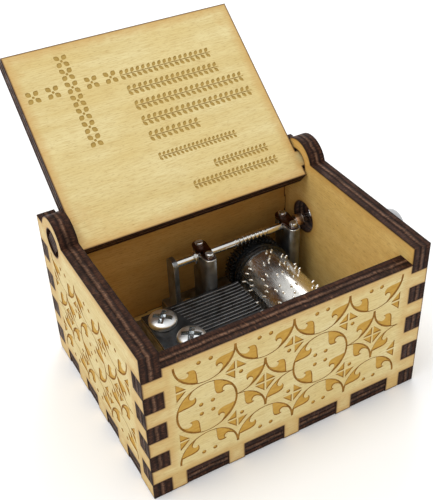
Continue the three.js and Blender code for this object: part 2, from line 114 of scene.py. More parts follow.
CAP_PLATE_GAP = 0.08            # and how far above the shaft it starts
MOUNTING_SCREWS = [(-13, 12.5), (1.5, -10), (23, 3)]
CRANK_R = 12.35
CRANK_TILT = math.radians(2.5)
KNOB = {"left": 36.9, "right": 46.6, "r": 3.8, "bore": 1.15}

# ---- the sheet's faces and the engraving ----
RIM = 0.07                      # the small chamfer round every cut edge
GLUE_LINE = 0.04                # how far the glue lines are burnt back
ENGRAVED = 0.16
RING_R = 6.4
RING_PITCH = 12.85
ROW_PITCH = 13.3
CROSS_MIDDLE = 19.4             # height of the whole rings on the front and back
SIDE_MIDDLE = 18.8


def stand_for(piece, node):
    """The piece rides where the CAD node rides and is shown in its place."""
    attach(piece, frame["nodes"][node]["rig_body"])
    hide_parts(node)
    return piece


# ---- materials ----
def srgb(r, g, b):
    def linear(c):
        c /= 255
        return c / 12.92 if c <= 0.04045 else ((c + 0.055) / 1.055) ** 2.4
    return (linear(r), linear(g), linear(b), 1)


class Graph:
    """Short names for the shader nodes that the materials use."""

    def __init__(self, name, **fixed):
        self.material = bpy.data.materials.new(name)
        self.material.use_nodes = True
        self.tree = self.material.node_tree
        self.shader = self.tree.nodes["Principled BSDF"]
        for socket, value in fixed.items():
            self.shader.inputs[socket.replace("_", " ")].default_value = value

    def node(self, kind, inputs=(), **settings):
        node = self.tree.nodes.new("ShaderNode" + kind)
        for key, value in settings.items():
            setattr(node, key, value)
        for key, value in dict(inputs).items():
            if isinstance(value, bpy.types.NodeSocket):
                self.tree.links.new(value, node.inputs[key])
            else:
                node.inputs[key].default_value = value
        return node

    def sheet(self, scale, offset=(0, 0, 0)):
        """Millimetres along, up and through a sheet of plywood."""
        place = self.node("Attribute", attribute_name="sheet").outputs["Vector"]
        return self.scaled(place, scale, offset)

    def place(self, scale, offset=(0, 0, 0)):
        """Millimetres in the row frame at rest."""
        return self.scaled(self.node("TexCoord").outputs["Object"], [s / MM for s in scale], offset)

    def scaled(self, place, scale, offset):
        inputs = {"Vector": place, "Scale": scale, "Location": offset}
        return self.node("Mapping", inputs).outputs["Vector"]

    def noise(self, place, detail):
        inputs = {"Vector": place, "Scale": 1, "Detail": detail, "Roughness": 0.55}
        return self.node("TexNoise", inputs).outputs["Fac"]

    def waves(self, place):
        inputs = {"Vector": place, "Scale": 1, "Distortion": 0, "Detail": 1}
        return self.node("TexWave", inputs, bands_direction="X").outputs["Fac"]

    def ramp(self, value, *stops):
        ramp = self.node("ValToRGB", {"Fac": value})
        elements = ramp.color_ramp.elements
        while len(elements) < len(stops):
            elements.new(0.5)
        for element, (position, color) in zip(elements, stops):
            element.position = position
            element.color = color
        return ramp.outputs["Color"]

    def fade(self, value, low, high, start, end):
        inputs = {"Value": value, "From Min": low, "From Max": high, "To Min": start, "To Max": end}
        return self.node("MapRange", inputs).outputs["Result"]

    def math(self, operation, first, second):
        return self.node("Math", {0: first, 1: second}, operation=operation).outputs["Value"]

    def mix(self, amount, first, second):
        node = self.node("Mix", {"Factor": amount}, data_type="RGBA", blend_type="MIX")
        for socket, value in ((node.inputs[6], first), (node.inputs[7], second)):
            if isinstance(value, bpy.types.NodeSocket):
                self.tree.links.new(value, socket)
            else:
                socket.default_value = value
        return node.outputs[2]

    def finish(self, color=None, roughness=None, height=None, relief=0.02, strength=0.5):
        """Link what varies over the surface; relief is the bump's depth in millimetres."""
        for socket, value in (("Base Color", color), ("Roughness", roughness)):
            if value is not None:
                self.tree.links.new(value, self.shader.inputs[socket])
        if height is not None:
            bump = self.node("Bump", {"Height": height, "Distance": relief * MM, "Strength": strength})
            self.tree.links.new(bump.outputs["Normal"], self.shader.inputs["Normal"])
        return self.material


def birch_base(graph, tones):
    """Birch veneer: pale bands, fine streaks and short dark flecks along the grain."""
    low, high, amber, streak, fleck = tones
    bands = graph.noise(graph.sheet((0.03, 0.28, 0.28)), detail=3)
    streaks = graph.noise(graph.sheet((0.3, 4.5, 4.5), (7, 3, 0)), detail=4)
    flecks = graph.noise(graph.sheet((0.8, 5.5, 5.5), (1, 9, 0)), detail=2)
    blotches = graph.noise(graph.sheet((0.07, 0.1, 0.1), (4, 2, 0)), detail=1)
    pale = graph.ramp(bands, (0.32, low), (0.68, high))
    warm = graph.mix(graph.fade(blotches, 0.4, 0.7, 0, 0.5), pale, amber)
    streaked = graph.mix(graph.fade(streaks, 0.46, 0.72, 0, 0.62), warm, streak)
    flecked = graph.mix(graph.fade(flecks, 0.58, 0.72, 0, 0.6), streaked, fleck)
    return flecked, streaks, flecks


def birch(name, tones):
    """The veneer, toasted brown where the laser passed."""
    graph = Graph(name, Specular_IOR_Level=0.3)
    color, streaks, flecks = birch_base(graph, tones)
    near = graph.node("Attribute", attribute_name="from_cut").outputs["Fac"]
    ragged = graph.noise(graph.sheet((0.5, 0.5, 0.5)), detail=4)
    reach = graph.math("SUBTRACT", near, graph.fade(ragged, 0.3, 0.7, 0, 0.9))
    toasted = graph.mix(graph.fade(reach, 2.2, -0.4, 0, 0.6), color, srgb(190, 138, 62))
    charred = graph.mix(graph.fade(near, 0.36, 0.05, 0, 0.9), toasted, srgb(78, 44, 24))
    height = graph.math("SUBTRACT", graph.math("MULTIPLY", streaks, 0.5), flecks)
    return graph.finish(charred, graph.fade(streaks, 0.3, 0.8, 0.5, 0.68), height, relief=0.03)


def engraved_line():
    graph = Graph("engraved_line", Specular_IOR_Level=0.15)
    tone = graph.noise(graph.sheet((0.8, 0.8, 0.8)), detail=3)
    color = graph.ramp(tone, (0.3, srgb(128, 86, 28)), (0.7, srgb(166, 122, 54)))
    return graph.finish(color, graph.fade(tone, 0.2, 0.8, 0.7, 0.9), tone)


def engraved_fill(name, light, dark):
    """The floor of an engraved shape: fine upright lines left by the laser, over the grain."""
    graph = Graph(name, Specular_IOR_Level=0.15)
    lines = graph.waves(graph.sheet((1.1, 0, 0)))
    tone = graph.noise(graph.sheet((0.5, 1.6, 1)), detail=4)
    base = graph.ramp(tone, (0.3, dark), (0.68, light))
    color = graph.mix(graph.fade(lines, 0.2, 1, 0.65, 0), base, dark)
    return graph.finish(color, graph.fade(tone, 0.2, 0.8, 0.7, 0.88), lines, relief=0.03)


def ply_edge():
    """The charred cut edge: three plies between thin black glue lines, crossed by the beam's marks."""
    graph = Graph("ply_edge", Specular_IOR_Level=0.08)
    depth = graph.node("SeparateXYZ", {"Vector": graph.sheet((1, 1, 1 / PLY))}).outputs["Z"]
    wander = graph.noise(graph.sheet((0.25, 0.25, 0)), detail=2)
    depth = graph.math("ADD", depth, graph.fade(wander, 0, 1, -0.1, 0.1))
    dark, brown = srgb(34, 19, 13), srgb(72, 43, 29)
    layers = graph.ramp(depth, (0, dark), (0.2, brown), (0.31, dark), (0.38, dark),
                        (0.44, srgb(92, 63, 46)), (0.52, srgb(118, 88, 68)), (0.58, brown),
                        (0.65, dark), (0.8, brown), (1, dark))
    marks = graph.noise(graph.sheet((3, 3, 1.1)), detail=4)
    soot = graph.noise(graph.sheet((0.35, 0.35, 0.9), (5, 1, 2)), detail=4)
    marked = graph.mix(graph.fade(marks, 0.46, 0.66, 0, 0.85), layers, srgb(31, 19, 14))
    paler = graph.mix(graph.fade(marks, 0.42, 0.28, 0, 0.4), marked, srgb(138, 98, 70))
    color = graph.mix(graph.fade(soot, 0.4, 0.7, 0, 0.65), paler, srgb(24, 15, 12))
    return graph.finish(color, graph.fade(soot, 0.3, 0.7, 0.42, 0.68), marks, relief=0.08, strength=0.7)


def metal(name, dark, light, roughness, scratches=(0.8, 9, 9), relief=0.004, worn=0.5):
    """Metal with drawn or ground scratches, faint stains and uneven polish.

    scratches says how fine the scratches are along x, y and z, and worn how much they brighten it.
    """
    graph = Graph(name, Metallic=1.0)
    lines = graph.noise(graph.place(scratches), detail=4)
    stains = graph.noise(graph.place((0.35, 0.35, 0.35), (2, 5, 1)), detail=3)
    tone = graph.ramp(stains, (0.3, dark), (0.7, light))
    color = graph.mix(graph.fade(lines, 0.5, 0.8, 0, worn), tone, light)
    low, high = roughness
    polish = graph.fade(stains, 0.3, 0.7, low, high)
    scratched = graph.math("ADD", polish, graph.fade(lines, 0.35, 0.75, -0.03, 0.07))
    return graph.finish(color, scratched, lines, relief=relief)


def nylon():
    graph = Graph("black_nylon", Specular_IOR_Level=0.55)
    grain = graph.noise(graph.place((6, 6, 6)), detail=2)
    smear = graph.noise(graph.place((0.5, 0.5, 0.5)), detail=2)
    color = graph.ramp(smear, (0.3, srgb(7, 8, 9)), (0.75, srgb(18, 20, 22)))
    return graph.finish(color, graph.fade(smear, 0.3, 0.7, 0.16, 0.32), grain, relief=0.006)


def plastic():
    graph = Graph("white_plastic", Coat_Weight=0.25, Coat_Roughness=0.12, Subsurface_Weight=0.08,
                  Subsurface_Radius=(1.2 * MM, 1.1 * MM, 1 * MM))
    smear = graph.noise(graph.place((0.35, 0.6, 0.6)), detail=3)
    grain = graph.noise(graph.place((5, 5, 5)), detail=2)
    color = graph.ramp(smear, (0.3, srgb(148, 149, 153)), (0.75, srgb(174, 175, 178)))
    return graph.finish(color, graph.fade(smear, 0.3, 0.7, 0.22, 0.4), grain, relief=0.006)


BIRCH = birch("birch_veneer", (srgb(210, 189, 129), srgb(223, 208, 154), srgb(212, 187, 120),
                               srgb(188, 157, 94), srgb(164, 129, 70)))
# a lighter, more golden copy of the veneer for the inner faces: painted light standing in for the light and
# warm bounce inside the case
PAINTED_LIGHT_INSIDE = birch("birch_inside_painted_light", (srgb(228, 194, 116), srgb(238, 208, 134), srgb(224, 185, 102),
                                srgb(198, 156, 82), srgb(160, 118, 56)))
# a darker copy of the veneer for the back wall's inner face: painted shade for the shade inside the case
# under the open lid
PAINTED_SHADE_BIRCH = birch("birch_painted_shade", (srgb(182, 140, 72), srgb(196, 154, 86), srgb(178, 130, 62),
                                srgb(154, 108, 48), srgb(122, 80, 34)))
LINE = engraved_line()
FILL = engraved_fill("engraved_leaf", srgb(208, 168, 84), srgb(184, 140, 58))
FAINT_FILL = engraved_fill("engraved_vine", srgb(188, 160, 92), srgb(166, 136, 70))
EDGE = ply_edge()
# bright metal for rounded edges: partly wear from handling, partly a painted highlight on the bevels
EDGE_WEAR_AND_HIGHLIGHT = metal("polished_edge_and_highlight", srgb(196, 196, 192), srgb(240, 240, 236), (0.14, 0.24))
# the comb's edges: partly bright ground steel, partly a painted highlight on the bevels
COMB_EDGE_WEAR_AND_HIGHLIGHT = metal("ground_edge_and_highlight", srgb(172, 175, 178), srgb(204, 206, 208), (0.24, 0.34))
MATTE = (3, 3, 1)
METALS = {
    "cast_zinc": metal("cast_zinc", srgb(104, 107, 110), srgb(158, 161, 163), (0.34, 0.5),
                       (3, 3, 0.7), 0.01),
    "spring_steel": metal("spring_steel", srgb(60, 62, 64), srgb(84, 86, 88), (0.38, 0.5),
                          (0.5, 9, 9), 0.002),
    "bright_steel": metal("bright_steel", srgb(176, 176, 172), srgb(228, 228, 224), (0.12, 0.24)),
    "drawn_shaft": metal("drawn_shaft", srgb(206, 206, 202), srgb(240, 240, 236), (0.1, 0.16),
                         (0.3, 7, 7), 0.0005),
    "screw_steel": metal("screw_steel", srgb(206, 208, 208), srgb(236, 237, 236), (0.26, 0.38),
                         (4, 4, 1), 0.003),
    # a darker copy of the screw metal for the cross-shaped hollow: painted shade
    "recess_painted_shade": metal("recess_painted_shade", srgb(150, 154, 156), srgb(206, 210, 212), (0.16, 0.26), MATTE, 0.003),
    "chrome": metal("chrome", srgb(216, 219, 220), srgb(242, 243, 243), (0.28, 0.4), MATTE, 0.003),
    "brown_plate": metal("brown_plate", srgb(56, 34, 28), srgb(96, 66, 54), (0.24, 0.38)),
    "nickel": metal("polished_nickel", srgb(212, 210, 203), srgb(238, 236, 231), (0.2, 0.28),
                    (5, 0.5, 5), 0.0006, worn=0.2),
    "brass": metal("brass", srgb(192, 154, 124), srgb(224, 192, 164), (0.24, 0.38)),
    "lead": metal("lead", srgb(72, 74, 78), srgb(104, 106, 110), (0.5, 0.66), (3, 3, 3)),
    "black_nylon": nylon(),
    "white_plastic": plastic(),
}


# ---- meshes ----
SHARP = math.radians(35)        # an edge that bends more than this stays an edge


def smooth(piece):
    piece.data.polygons.foreach_set("use_smooth", [True] * len(piece.data.polygons))
    piece.data.set_sharp_from_angle(angle=SHARP)


class Shell:
    """Points in millimetres, and faces with a material number each, gathered into one mesh."""

    def __init__(self):
        self.points, self.faces, self.paint = [], [], []

    def add(self, points, faces, paint=0, place=Matrix()):
        start = len(self.points)
        self.points += [place @ Vector(p) for p in points]
        self.faces += [[start + i for i in face] for face in faces]
        self.paint += [paint] * len(faces)
        return self

    def build(self, name, materials):
        mesh = bpy.data.meshes.new(name)
        mesh.from_pydata([p * MM for p in self.points], [], self.faces)
        mesh.polygons.foreach_set("material_index", self.paint)
        for material in materials:
            mesh.materials.append(material)
        shape = bmesh.new()
        shape.from_mesh(mesh)
        bmesh.ops.recalc_face_normals(shape, faces=shape.faces)
        shape.to_mesh(mesh)
        shape.free()
        piece = bpy.data.objects.new(name, mesh)
        bpy.context.scene.collection.objects.link(piece)
        smooth(piece)
        return piece


def turned(profile, sides):
    """A profile of (radius, height) turned about +Z: closed by its ends on the axis, or else a ring."""
    points, faces, rings = [], [], []
    for r, h in profile:
        rings.append(len(points))
        if r == 0:
            points.append((0, 0, h))
            continue
        turns = [2 * math.pi * i / sides for i in range(sides)]
        points += [(r * math.cos(a), r * math.sin(a), h) for a in turns]
    ring_profile = profile[0][0] > 0
    pairs = list(zip(range(len(profile)), range(1, len(profile))))
    if ring_profile:
        pairs.append((len(profile) - 1, 0))
    for low, high in pairs:
        for i in range(sides):
            j = (i + 1) % sides
            a, b = rings[low], rings[high]
            if profile[low][0] == 0:
                faces.append((a, b + i, b + j))
            elif profile[high][0] == 0:
                faces.append((a + i, a + j, b))
            else:
                faces.append((a + i, a + j, b + j, b + i))
    return points, faces


ALONG_X = Matrix.Rotation(math.pi / 2, 4, "Y")
ALONG_Y = Matrix.Rotation(-math.pi / 2, 4, "X")


def at(x, y, z):
    return Matrix.Translation((x, y, z))


def applied(piece):
    """Turn the piece's modifiers into its mesh."""
    graph = bpy.context.evaluated_depsgraph_get()
    mesh = bpy.data.meshes.new_from_object(piece.evaluated_get(graph))
    piece.modifiers.clear()
    piece.data = mesh
    smooth(piece)
    return piece


def carved(piece, cutter):
    """Cut one piece's shape out of another."""
    modifier = piece.modifiers.new("cut", "BOOLEAN")
    modifier.object, modifier.operation, modifier.solver = cutter, "DIFFERENCE", "EXACT"
    applied(piece)
    bpy.data.objects.remove(cutter)
    return piece


def bar(x0, x1, y0, y1, z0, z1, taper=0):
    """A block whose lower face is smaller all round by taper."""
    points = [(x0 + taper, y0 + taper, z0), (x1 - taper, y0 + taper, z0), (x1 - taper, y1 - taper, z0),
              (x0 + taper, y1 - taper, z0), (x0, y0, z1), (x1, y0, z1), (x1, y1, z1), (x0, y1, z1)]
    faces = [(3, 2, 1, 0), (4, 5, 6, 7), (0, 1, 5, 4), (1, 2, 6, 5), (2, 3, 7, 6), (3, 0, 4, 7)]
    return points, faces


def softened(node, width, metal_name, edge_metal=EDGE_WEAR_AND_HIGHLIGHT):
    """The CAD node's own shape with its sharp outer edges rounded and given the edge metal: partly wear from
    handling, partly a painted highlight on the bevels.
    """
    mesh = frame["nodes"][node].data.copy()
    mesh.materials.clear()
    for material in (METALS[metal_name], edge_metal):
        mesh.materials.append(material)
    shape = bmesh.new()
    shape.from_mesh(mesh)
    bmesh.ops.remove_doubles(shape, verts=shape.verts, dist=1e-6)
    bmesh.ops.dissolve_limit(shape, angle_limit=math.radians(0.5), verts=shape.verts, edges=shape.edges)
    for face in shape.faces:
        face.material_index = 0
    sharp = [e for e in shape.edges if e.is_manifold and e.is_convex
             and e.calc_face_angle(0) > SHARP]
    bmesh.ops.bevel(shape, geom=sharp, offset=width * MM, offset_type="OFFSET", segments=2,
                    profile=0.5, affect="EDGES", clamp_overlap=True, material=1)
    shape.to_mesh(mesh)
    shape.free()
    piece = bpy.data.objects.new(node + "_finished", mesh)
    bpy.context.scene.collection.objects.link(piece)
    smooth(piece)
    return stand_for(piece, node)


# ---- flat outlines ----
def flat(x, y):
    return Vector((x, y))


def edge(start, end, slots, depth):
    """Slots along one straight side of an anticlockwise outline; a negative depth stands out."""
    run = (end - start).normalized()
    inward = flat(-run.y, run.x)
    points = [start]
    for low, high in slots:
        for along, deep in ((low, 0), (low, depth), (high, depth), (high, 0)):
            points.append(start + run * along + inward * deep)
    return points


def flipped(slots, length):
    return [(length - high, length - low) for low, high in reversed(slots)]


def finger_slots(gap):
    lows = range(FINGER, int(FRONT_TOP) - FINGER + 1, 2 * FINGER)
    return [(z - gap, z + FINGER + gap) for z in lows]


def tab_slots(tab, length, gap):
    slots = []
    for i in range(tab["count"]):
        middle = length / 2 + (i - (tab["count"] - 1) / 2) * tab["pitch"]
        slots.append((middle - tab["width"] / 2 - gap, middle + tab["width"] / 2 + gap))
    return slots


def cross_outline(top):
    fingers = finger_slots(0)
    return [
        *edge(flat(-IN_W, 0), flat(IN_W, 0), tab_slots(FRONT_TAB, 2 * IN_W, KERF), PLY),
        *edge(flat(IN_W, 0), flat(IN_W, top), fingers, -PLY),
        flat(IN_W, top),
        *edge(flat(-IN_W, top), flat(-IN_W, 0), flipped(fingers, top), -PLY),
    ]


def side_outline():
    slots = finger_slots(KERF)
    rise = SIDE_TOP - PIVOT.z
    reach = math.sqrt(EAR_R ** 2 - rise ** 2)
    start = math.atan2(rise, reach)
    steps = 28
    ear = [start + (math.pi - 2 * start) * i / steps for i in range(steps + 1)]
    return [
        *edge(flat(-HALF_D, 0), flat(HALF_D, 0), tab_slots(SIDE_TAB, 2 * HALF_D, KERF), PLY),
        *edge(flat(HALF_D, 0), flat(HALF_D, SIDE_TOP), slots, PLY),
        flat(HALF_D, SIDE_TOP),
        *[flat(PIVOT.y + EAR_R * math.cos(a), PIVOT.z + EAR_R * math.sin(a)) for a in ear],
        *edge(flat(-HALF_D, SIDE_TOP), flat(-HALF_D, 0), flipped(slots, SIDE_TOP), PLY),
    ]


def bottom_outline():
    out = TAB_RECESS - PLY
    front_tabs = tab_slots(FRONT_TAB, 2 * IN_W, 0)
    side_tabs = tab_slots(SIDE_TAB, 2 * IN_D, 0)
    return [
        *edge(flat(-IN_W, -IN_D), flat(IN_W, -IN_D), front_tabs, out),
        *edge(flat(IN_W, -IN_D), flat(IN_W, IN_D), side_tabs, out),
        *edge(flat(IN_W, IN_D), flat(-IN_W, IN_D), front_tabs, out),
        *edge(flat(-IN_W, IN_D), flat(-IN_W, -IN_D), side_tabs, out),
    ]


def lid_outline():
    half = IN_W - LID_SIDE_GAP
    tab = [(LID_FRONT - LID_TAB / 2, LID_FRONT + LID_TAB / 2)]
    out = half - HALF_W + TAB_RECESS
    return [
        flat(-half, -LID_FRONT),
        *edge(flat(half, -LID_FRONT), flat(half, LID_REAR), tab, out),
        flat(half, LID_REAR),
        *edge(flat(-half, LID_REAR), flat(-half, -LID_FRONT), flipped(tab, LID_FRONT + LID_REAR),
              out),
    ]


def divided(points):
    """The same closed outline with no side longer than 1.6 mm."""
    result = []
    for i, p in enumerate(points):
        q = points[(i + 1) % len(points)]
        count = max(1, math.ceil((q - p).length / 1.6))
        result += [p.lerp(q, k / count) for k in range(count)]
    return result


def area(points):
    return sum(p.x * q.y - q.x * p.y for p, q in zip(points, points[1:] + points[:1])) / 2


def inset(points, distance):
    """Each point of a closed anticlockwise outline moved inwards, square to both its sides."""
    result = []
    for i, p in enumerate(points):
        before = (p - points[i - 1]).normalized()
        after = (points[(i + 1) % len(points)] - p).normalized()
        inward = [flat(-d.y, d.x) for d in (before, after)]
        spread = max(1 + inward[0].dot(inward[1]), 0.25)
        result.append(p + (inward[0] + inward[1]) * (distance / spread))
    return result


def circle(x, y, r, sides=48):
    turns = [2 * math.pi * i / sides for i in range(sides)]
    return [flat(x + r * math.cos(a), y + r * math.sin(a)) for a in turns]


# ---- engraved motifs: (outline, core, whether the core is a filled shape) ----
def motif(outline, depth):
    if area(outline) < 0:
        outline = outline[::-1]
    return outline, inset(outline, depth), True


def stroke(points, widths):
    """An engraved line along points, as wide as widths says at each."""
    sides = []
    for share in (1, 0.4):
        left, right = [], []
        for i, p in enumerate(points):
            run = (points[min(i + 1, len(points) - 1)] - points[max(i - 1, 0)]).normalized()
            across = flat(-run.y, run.x) * (widths[i] / 2 * share)
            left.append(p + across)
            right.append(p - across)
        outline = right + left[::-1]
        sides.append(outline if area(outline) > 0 else outline[::-1])
    return sides[0], sides[1], False


# a leaf's outline: millimetres along a ring, and in from it
LEAF = [(0, 0), (0.35, 1.1), (1.05, 2.2), (2.2, 2.9), (3.5, 2.95), (4.5, 2.4), (4.65, 1.75),
        (4, 1.9), (3.45, 1.5), (3.6, 0.85), (4.4, 0.4), (5.4, 0), (3.6, -0.02), (1.8, -0.02)]


def leaf_on_ring(cx, cy, start):
    """A leaf that starts at an angle on a ring and follows it clockwise, its hooked end inwards."""
    control = [Vector(p) for p in LEAF]
    curve = []
    for i in range(len(control)):
        p = [control[(i + k) % len(control)] for k in (-1, 0, 1, 2)]
        for t in (0, 0.25, 0.5, 0.75):
            slope = (p[2] - p[0]) * t
            bend = (2 * p[0] - 5 * p[1] + 4 * p[2] - p[3]) * t ** 2
            curve.append(0.5 * (2 * p[1] + slope + bend + (3 * p[1] - p[0] - 3 * p[2] + p[3]) * t ** 3))
    inner = RING_R - 0.08
    points = []
    for along, deep in curve:
        angle = start - along / RING_R
        points.append(flat(cx + (inner - deep) * math.cos(angle), cy + (inner - deep) * math.sin(angle)))
    return motif(points, 0.13)


def ring_arc(cx, cy, start, end):
    """Part of a ring, thick at its left and right sides and thin at its top and bottom."""
    steps = max(4, round((end - start) / math.radians(7)))
    angles = [start + (end - start) * i / steps for i in range(steps + 1)]
    points = [flat(cx + RING_R * math.cos(a), cy + RING_R * math.sin(a)) for a in angles]
    return stroke(points, [0.18 + 0.3 * abs(math.cos(a)) ** 1.4 for a in angles])


def dot(x, y, r=0.48):
    return circle(x, y, r, 14), circle(x, y, r * 0.62, 14), True


def quarter(x, y, turn):
    """One corner of a small diamond that a pale cross splits."""
    reach, gap = 2.6, 0.2
    c, s = math.cos(turn), math.sin(turn)
    corners = [(gap, gap), (reach - gap * 1.4, gap), (gap, reach - gap * 1.4)]
    return motif([flat(x + a * c - b * s, y + a * s + b * c) for a, b in corners], 0.12)


def split_diamond(x, y, quarters=(0, 1, 2, 3), dotted=None):
    motifs = [quarter(x, y, q * math.pi / 2) for q in quarters]
    if dotted is not None:
        turn = (dotted + 0.5) * math.pi / 2
        motifs.append(dot(x + 1.5 * math.cos(turn), y + 1.5 * math.sin(turn)))
    return motifs


def quadrants(cx, cy, which):
    """Quarters of a ring, each with its leaf."""
    motifs = []
    for q in which:
        start = q * math.pi / 2
        motifs.append(ring_arc(cx, cy, start, start + math.pi / 2))
        motifs.append(leaf_on_ring(cx, cy, start + math.radians(74)))
    return motifs


def scroll(cells, middle, full_first):
    """A lattice of leafy rings: whole rings and cusped stars in turn, between rows of half rings."""
    motifs = []
    first = -(cells - 1) / 2 * RING_PITCH
    half = RING_PITCH / 2
    for i in range(cells):
        x = first + i * RING_PITCH
        motifs += quadrants(x, middle + ROW_PITCH, (2, 3)) + quadrants(x, middle - ROW_PITCH, (0, 1))
        motifs += [dot(x + side * 1.25, middle + up * (ROW_PITCH - 1.1))
                   for side in (-1, 1) for up in (-1, 1)]
        if (i % 2 == 0) == full_first:
            motifs += quadrants(x, middle, (0, 1, 2, 3))
            motifs += [dot(x + a * 1.25, middle + b * 1.25) for a in (-1, 1) for b in (-1, 1)]
        else:
            motifs += split_diamond(x, middle)
            corners = ((-1, 1, 3), (1, 1, 2), (-1, -1, 0), (1, -1, 1))
            for side, up, q in corners:
                motifs += quadrants(x + side * half, middle + up * half, (q,))
    for i in range(cells + 1):
        x = first - half + i * RING_PITCH
        full_right = (i % 2 == 0) == full_first
        for up in (-1, 1):
            y = middle + up * (half + 0.25)
            if i == 0 or i == cells:
                motifs += split_diamond(x, y, (0, 3) if i == 0 else (1, 2))
            else:
                away = {(True, 1): 2, (True, -1): 1, (False, 1): 3, (False, -1): 0}[full_right, up]
                motifs += split_diamond(x, y, [q for q in range(4) if q != away], away)
    return motifs


def leaflet(x, y, length, turn, plump=0.3):
    """A small pointed leaf that grows from a spot."""
    run = flat(math.cos(turn), math.sin(turn)) * length
    across = flat(-run.y, run.x) * plump
    base = flat(x, y)
    swell = [math.sin(math.pi * i / 6) ** 0.8 for i in range(7)]
    outline = [base + run * (i / 6) - across * swell[i] for i in range(7)]
    outline += [base + run * (i / 6) + across * swell[i] for i in range(5, 0, -1)]
    return motif(outline, 0.1)


def garland(left, right, y, size):
    """A row of leaf pairs on a thin stem."""
    count = round((right - left) / (0.72 * size))
    step = (right - left) / count
    motifs = [stroke([flat(left + step * i, y) for i in range(count + 1)], [0.2] * (count + 1))]
    for i in range(count):
        x = left + step * i + 0.1
        for side in (-1, 1):
            motifs.append(leaflet(x, y + side * 0.16, 0.72 * size, side * math.radians(52)))
    return motifs


def rosette(x, y, reach):
    """Four leaves about a dot."""
    leaves = [leaflet(x + 0.45 * math.cos(a), y + 0.45 * math.sin(a), reach - 0.45, a, 0.39)
              for a in (math.pi * (0.25 + 0.5 * i) for i in range(4))]
    return leaves + [dot(x, y, 0.3)]


# ---- sheets ----
# paint numbers, in the order of a sheet's materials
BARE, ENGRAVED_LINE, ENGRAVED_FILL, CUT, INNER_BARE, INNER_ENGRAVED = range(6)


def sunk_share(levels):
    """How far a point between faces of these levels is sunk: an engraving starts at its outline."""
    if not levels or 0 in levels:
        return 0
    return 1 if 2 in levels else 0.5


def face_grid(outline, holes, motifs):
    """One face of a sheet: points, how far each is sunk, triangles, their paint, the rim's points."""
    loops = [outline] + holes + [loop for m in motifs for loop in m[:2]]
    kinds = ["sheet"] + ["hole"] * len(holes)
    for m in motifs:
        kinds += ["line", "fill" if m[2] else "core"]
    points, faces = [], []
    for loop in loops:
        faces.append(list(range(len(points), len(points) + len(loop))))
        points += loop
    rim = faces[:1 + len(holes)]
    cut = [p for loop in loops[:1 + len(holes)] for p in loop]
    # rows of points beside every cut, which the char's colour fades over
    for loop in [outline] + [hole[::-1] for hole in holes]:
        for depth in (0.3, 0.9, 2.2):
            points += [p for p in inset(loop, depth) if inside(p, outline, holes)
                       and min((p - q).length for q in cut) > 0.7 * depth]
    grid = delaunay_2d_cdt(points, [], faces, 1, 1e-5, True)
    spots, triangles, sources, owners = grid[0], grid[2], grid[3], grid[5]
    kept, paint, sunk = [], [], [[] for _ in spots]
    for triangle, owner in zip(triangles, owners):
        found = {kinds[i] for i in owner}
        if "hole" in found or "sheet" not in found:
            continue
        kept.append(list(triangle))
        color, level = BARE, 0
        if found & {"line", "core"}:
            color, level = ENGRAVED_LINE, 1
        if "fill" in found:
            color = ENGRAVED_FILL
        if found & {"fill", "core"}:
            level = 2
        paint.append(color)
        for i in triangle:
            sunk[i].append(level)
    depth = [sunk_share(levels) for levels in sunk]
    new_place = {old: new for new, olds in enumerate(sources) for old in olds}
    return spots, depth, kept, paint, [[new_place[i] for i in loop] for loop in rim]


def inside(point, outline, holes):
    """Whether a point is on the sheet."""
    def within(loop):
        odd = False
        for a, b in zip(loop, loop[1:] + loop[:1]):
            if (a.y > point.y) != (b.y > point.y):
                crossing = (b.x - a.x) * (point.y - a.y) / (b.y - a.y) + a.x
                odd ^= point.x < crossing
        return odd
    return within(outline) and not any(within(hole) for hole in holes)


def distance_to(points, loops):
    """From each point to the nearest side of any loop."""
    p = np.array([tuple(q) for q in points])
    best = np.full(len(p), 1e9)
    for loop in loops:
        a = np.array([tuple(q) for q in loop])
        run = np.roll(a, -1, axis=0) - a
        length = (run ** 2).sum(1)
        for start, step, square in zip(a, run, length):
            t = np.clip(((p - start) @ step) / square, 0, 1)
            best = np.minimum(best, np.linalg.norm(p - start - t[:, None] * step, axis=1))
    return best


def hole_profile(r):
    """A straight hole's wall, with its two burnt glue lines."""
    wall = [(0, r + RIM), (RIM, r)]
    for glue in (PLY / 3, PLY * 2 / 3):
        wall += [(glue, r), (glue + 0.04, r + GLUE_LINE), (glue + 0.1, r)]
    return wall + [(PLY - RIM, r), (PLY, r + RIM)]
